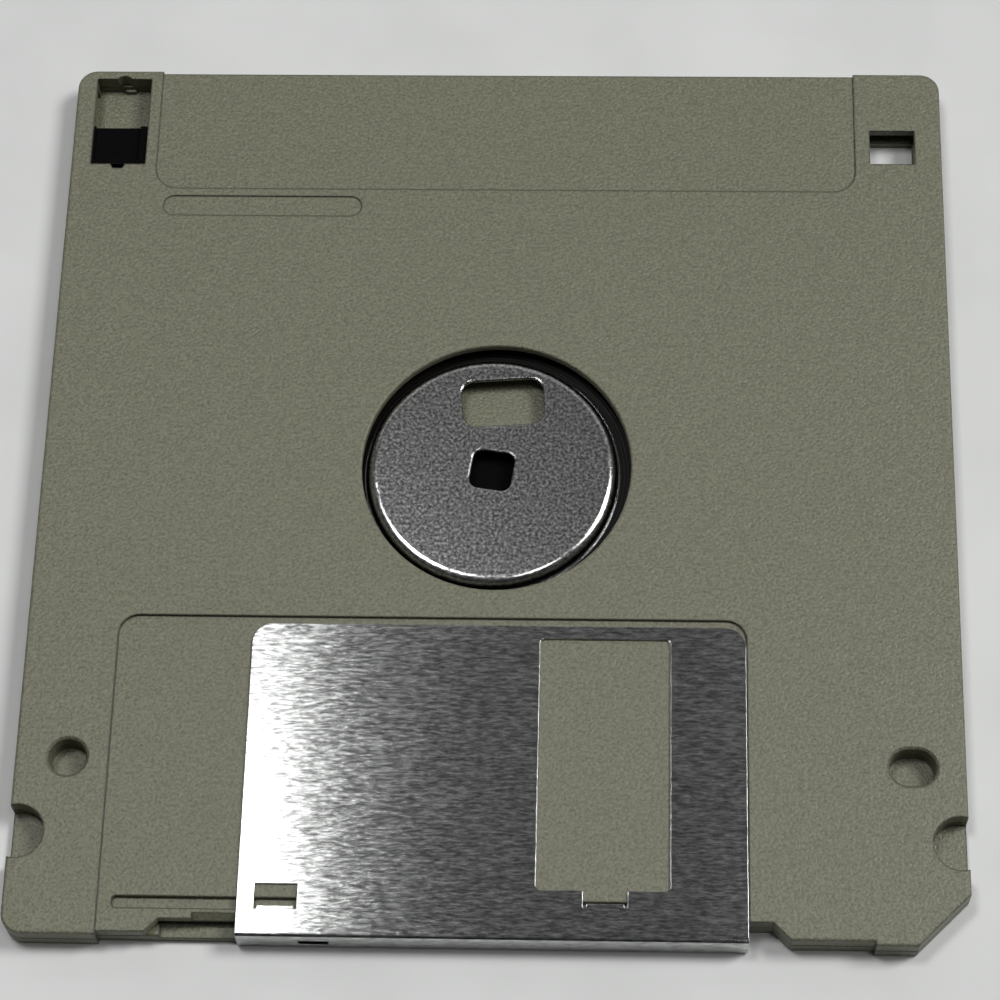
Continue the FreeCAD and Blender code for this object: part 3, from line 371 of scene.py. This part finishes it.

# %% [markdown]
# The shutter's spring is one length of wire: a straight leg, almost two turns and a second leg.
# It closes up as the shutter opens, which a CAD part can't show. A new piece takes its place. A
# curve gives the path, which is worked out from the CAD part's box, and a small Geometry Nodes tree
# sweeps the wire along it. The finished mesh is attached to the case and keeps its shape.

# %% The path of the spring
WIRE_DIAMETER = 0.34 * MM
COIL_RADIUS = 1.7 * MM
COIL_PITCH = 0.36 * MM
LEG_POINTS = 6
POINTS_A_TURN = 40


def spring_path():
    """The points of the wire's middle line, from the fixed end to the end on the shutter."""
    low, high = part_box("shutter_spring")
    inset = WIRE_DIAMETER / 2
    centre = Vector(((low.x + high.x) / 2, high.y - inset - COIL_RADIUS, low.z + inset))
    reach_x = (high.x - low.x) / 2
    foot_y = low.y + inset
    # the leg is tangent to the coil
    distance = math.hypot(reach_x, centre.y - foot_y)
    lean = math.atan2(centre.y - foot_y, reach_x) - math.asin(COIL_RADIUS / distance)
    reach_x -= inset * math.sin(lean)
    start = lean - math.pi / 2
    winding = math.pi - 2 * start
    while winding < 3 * math.pi:
        winding += 2 * math.pi
    rise = COIL_PITCH * winding / (2 * math.pi)

    def on_coil(share):
        angle = start + winding * share
        around = Vector((math.cos(angle), math.sin(angle), 0)) * COIL_RADIUS
        return centre + around + Vector((0, 0, rise * share))

    fixed_end = Vector((centre.x - reach_x, foot_y, centre.z))
    moving_end = Vector((centre.x + reach_x, foot_y, centre.z + rise))
    turns = winding / (2 * math.pi)
    coil_points = round(turns * POINTS_A_TURN)
    leg_in = [fixed_end.lerp(on_coil(0), step / LEG_POINTS) for step in range(LEG_POINTS)]
    coil = [on_coil(step / coil_points) for step in range(coil_points + 1)]
    leg_out = [on_coil(1).lerp(moving_end, step / LEG_POINTS) for step in range(1, LEG_POINTS + 1)]
    print(f"spring: {turns:.2f} turns, {rise / MM:.2f} mm high")
    return leg_in + coil + leg_out


def curve_through(name, points):
    """A curve object of straight steps through the points."""
    curve = bpy.data.curves.new(name, "CURVE")
    curve.dimensions = "3D"
    spline = curve.splines.new("POLY")
    spline.points.add(len(points) - 1)
    for target, point in zip(spline.points, points):
        target.co = (*point, 1)
    made = bpy.data.objects.new(name, curve)
    bpy.context.scene.collection.objects.link(made)
    return made


# %% The wire along the path
def wire_tree(material):
    """A tree that sweeps a round wire along a curve."""
    tree = bpy.data.node_groups.new("wire_along_curve", "GeometryNodeTree")
    face = tree.interface
    face.new_socket("Path", in_out="INPUT", socket_type="NodeSocketGeometry")
    radius = face.new_socket("Wire radius", in_out="INPUT", socket_type="NodeSocketFloat")
    sides = face.new_socket("Sides", in_out="INPUT", socket_type="NodeSocketInt")
    face.new_socket("Wire", in_out="OUTPUT", socket_type="NodeSocketGeometry")
    start = tree.nodes.new("NodeGroupInput")
    circle = tree.nodes.new("GeometryNodeCurvePrimitiveCircle")
    sweep = tree.nodes.new("GeometryNodeCurveToMesh")
    sweep.inputs["Fill Caps"].default_value = True
    smooth = tree.nodes.new("GeometryNodeSetShadeSmooth")
    real = tree.nodes.new("GeometryNodeRealizeInstances")
    paint = tree.nodes.new("GeometryNodeSetMaterial")
    paint.inputs["Material"].default_value = material
    end = tree.nodes.new("NodeGroupOutput")
    for first, second in (
        (start.outputs["Wire radius"], circle.inputs["Radius"]),
        (start.outputs["Sides"], circle.inputs["Resolution"]),
        (start.outputs["Path"], sweep.inputs["Curve"]),
        (circle.outputs["Curve"], sweep.inputs["Profile Curve"]),
        (sweep.outputs["Mesh"], smooth.inputs["Geometry"]),
        (smooth.outputs["Geometry"], real.inputs["Geometry"]),
        (real.outputs["Geometry"], paint.inputs["Geometry"]),
        (paint.outputs["Geometry"], end.inputs["Wire"]),
    ):
        tree.links.new(first, second)
    return tree, radius.identifier, sides.identifier


def spring_steel():
    material, shader = start_material("spring_steel", (0.50, 0.50, 0.49), 0.28, 1.0)
    draw_marks = stretched_noise(material, (1, 1, 1), 2500)
    join(material, remap(material, draw_marks, 0.22, 0.36), shader.inputs["Roughness"])
    return material


def mesh_of(name, source):
    """The evaluated mesh of an object as a new plain object. The source is removed."""
    graph = bpy.context.evaluated_depsgraph_get()
    mesh = bpy.data.meshes.new_from_object(source.evaluated_get(graph))
    made = bpy.data.objects.new(name, mesh)
    bpy.context.scene.collection.objects.link(made)
    bpy.data.objects.remove(source)
    return made


wire_path = curve_through("spring_path", spring_path())
tree, radius_input, sides_input = wire_tree(spring_steel())
modifier = wire_path.modifiers.new("wire", "NODES")
modifier.node_group = tree
modifier[radius_input] = WIRE_DIAMETER / 2
modifier[sides_input] = 12
spring = mesh_of("spring_wire", wire_path)
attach(spring, "case")
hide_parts("shutter_spring")
print("spring wire:", len(spring.data.polygons), "faces")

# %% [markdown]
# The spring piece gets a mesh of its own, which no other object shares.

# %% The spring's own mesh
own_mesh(spring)

# %% [markdown]
# The table is a plain pale board. Its tone is set by its own colour, so that the lamps can stay at
# a level that suits the disk.


# %% The table
def table_top():
    material, shader = start_material("table_top", (0.65, 0.65, 0.65), 0.5)
    cloud = stretched_noise(material, (1, 1, 1), 60, detail=3.0)
    tone = mix_colours(
        material,
        remap(material, cloud, 0.0, 1.0, 0.35, 0.65),
        (0.63, 0.64, 0.63),
        (0.68, 0.69, 0.68),
    )
    join(material, tone, shader.inputs["Base Color"])
    return material


TABLE_HALF = 1.5
table_mesh = bpy.data.meshes.new("table")
table_mesh.from_pydata(
    [(x * TABLE_HALF, y * TABLE_HALF, 0) for x, y in ((-1, -1), (1, -1), (1, 1), (-1, 1))],
    [],
    [(0, 1, 2, 3)],
)
table = bpy.data.objects.new("table", table_mesh)
table.data.materials.append(table_top())
bpy.context.scene.collection.objects.link(table)
print("table laid")

# %% [markdown]
# The light comes from above. A small bright panel hangs overhead on the left, and its right edge
# is what fades across the brushed shutter. A stronger panel on the right throws the shadow beside
# the case. A weak one hangs a little in front and lights the bevels of the hub's holes, and a
# broad one far behind lifts the shadows. The sky is dim, and darker in front than behind, so the
# walls that face the camera stay dark.


# %% Lamps and sky
def soft_panel(name, place, target, width, depth, power):
    """A rectangular lamp that faces its target."""
    lamp = bpy.data.lights.new(name, "AREA")
    lamp.shape = "RECTANGLE"
    lamp.size = width
    lamp.size_y = depth
    lamp.energy = power
    made = bpy.data.objects.new(name, lamp)
    made.location = place
    made.rotation_euler = (Vector(target) - Vector(place)).to_track_quat("-Z", "Y").to_euler()
    bpy.context.scene.collection.objects.link(made)
    return made


soft_panel("key_panel", (-0.255, 0.18, 1.0), (-0.255, 0.18, 0), 0.24, 0.24, 3.2)
soft_panel("right_panel", (0.82, 0.26, 1.1), (0, 0, 0), 0.45, 0.45, 11.5)
soft_panel("front_panel", (0.24, -0.12, 1.2), (0, 0, 0), 0.2, 0.2, 1.2)
soft_panel("far_panel", (0, 1.7, 0.9), (0, 0, 0), 3.2, 1.4, 4.5)
world = bpy.data.worlds.new("sky")
world.use_nodes = True
sky = world.node_tree.nodes["Background"]
sky.inputs["Color"].default_value = (1, 1, 1, 1)
direction = world.node_tree.nodes.new("ShaderNodeTexCoord")
parts = world.node_tree.nodes.new("ShaderNodeSeparateXYZ")
level = world.node_tree.nodes.new("ShaderNodeMapRange")
level.inputs["From Min"].default_value = -1
level.inputs["To Min"].default_value = 0.01
level.inputs["To Max"].default_value = 0.15
world.node_tree.links.new(direction.outputs["Generated"], parts.inputs["Vector"])
world.node_tree.links.new(parts.outputs["Y"], level.inputs["Value"])
world.node_tree.links.new(level.outputs["Result"], sky.inputs["Strength"])
bpy.context.scene.world = world
bpy.context.scene.view_settings.view_transform = "Standard"

# %% [markdown]
# The photograph looks down at the disk from the front, about 65 degrees above the table and from
# 31 cm away. The camera's turn is given as an axis times an angle, which is how the fit to the
# case's corners gave it.

# %% The camera
CAMERA_PLACE = Vector((11.59, -130.61, 280.93)) * MM
CAMERA_TURN = Vector((0.43289, 0.03372, 0.01743))
FOCAL_SHARE = 3.1185
SENSOR_WIDTH = 36
camera_data = bpy.data.cameras.new("camera")
camera_data.sensor_width = SENSOR_WIDTH
camera_data.lens = SENSOR_WIDTH * FOCAL_SHARE
camera_data.clip_start = 0.01
camera_data.clip_end = 10
camera = bpy.data.objects.new("camera", camera_data)
turned = Matrix.Rotation(CAMERA_TURN.length, 4, CAMERA_TURN)
camera.matrix_world = Matrix.Translation(CAMERA_PLACE) @ turned
bpy.context.scene.collection.objects.link(camera)
bpy.context.scene.camera = camera
print(f"camera {camera_data.lens:.1f} mm, {CAMERA_PLACE.length / MM:.0f} mm from the disk")
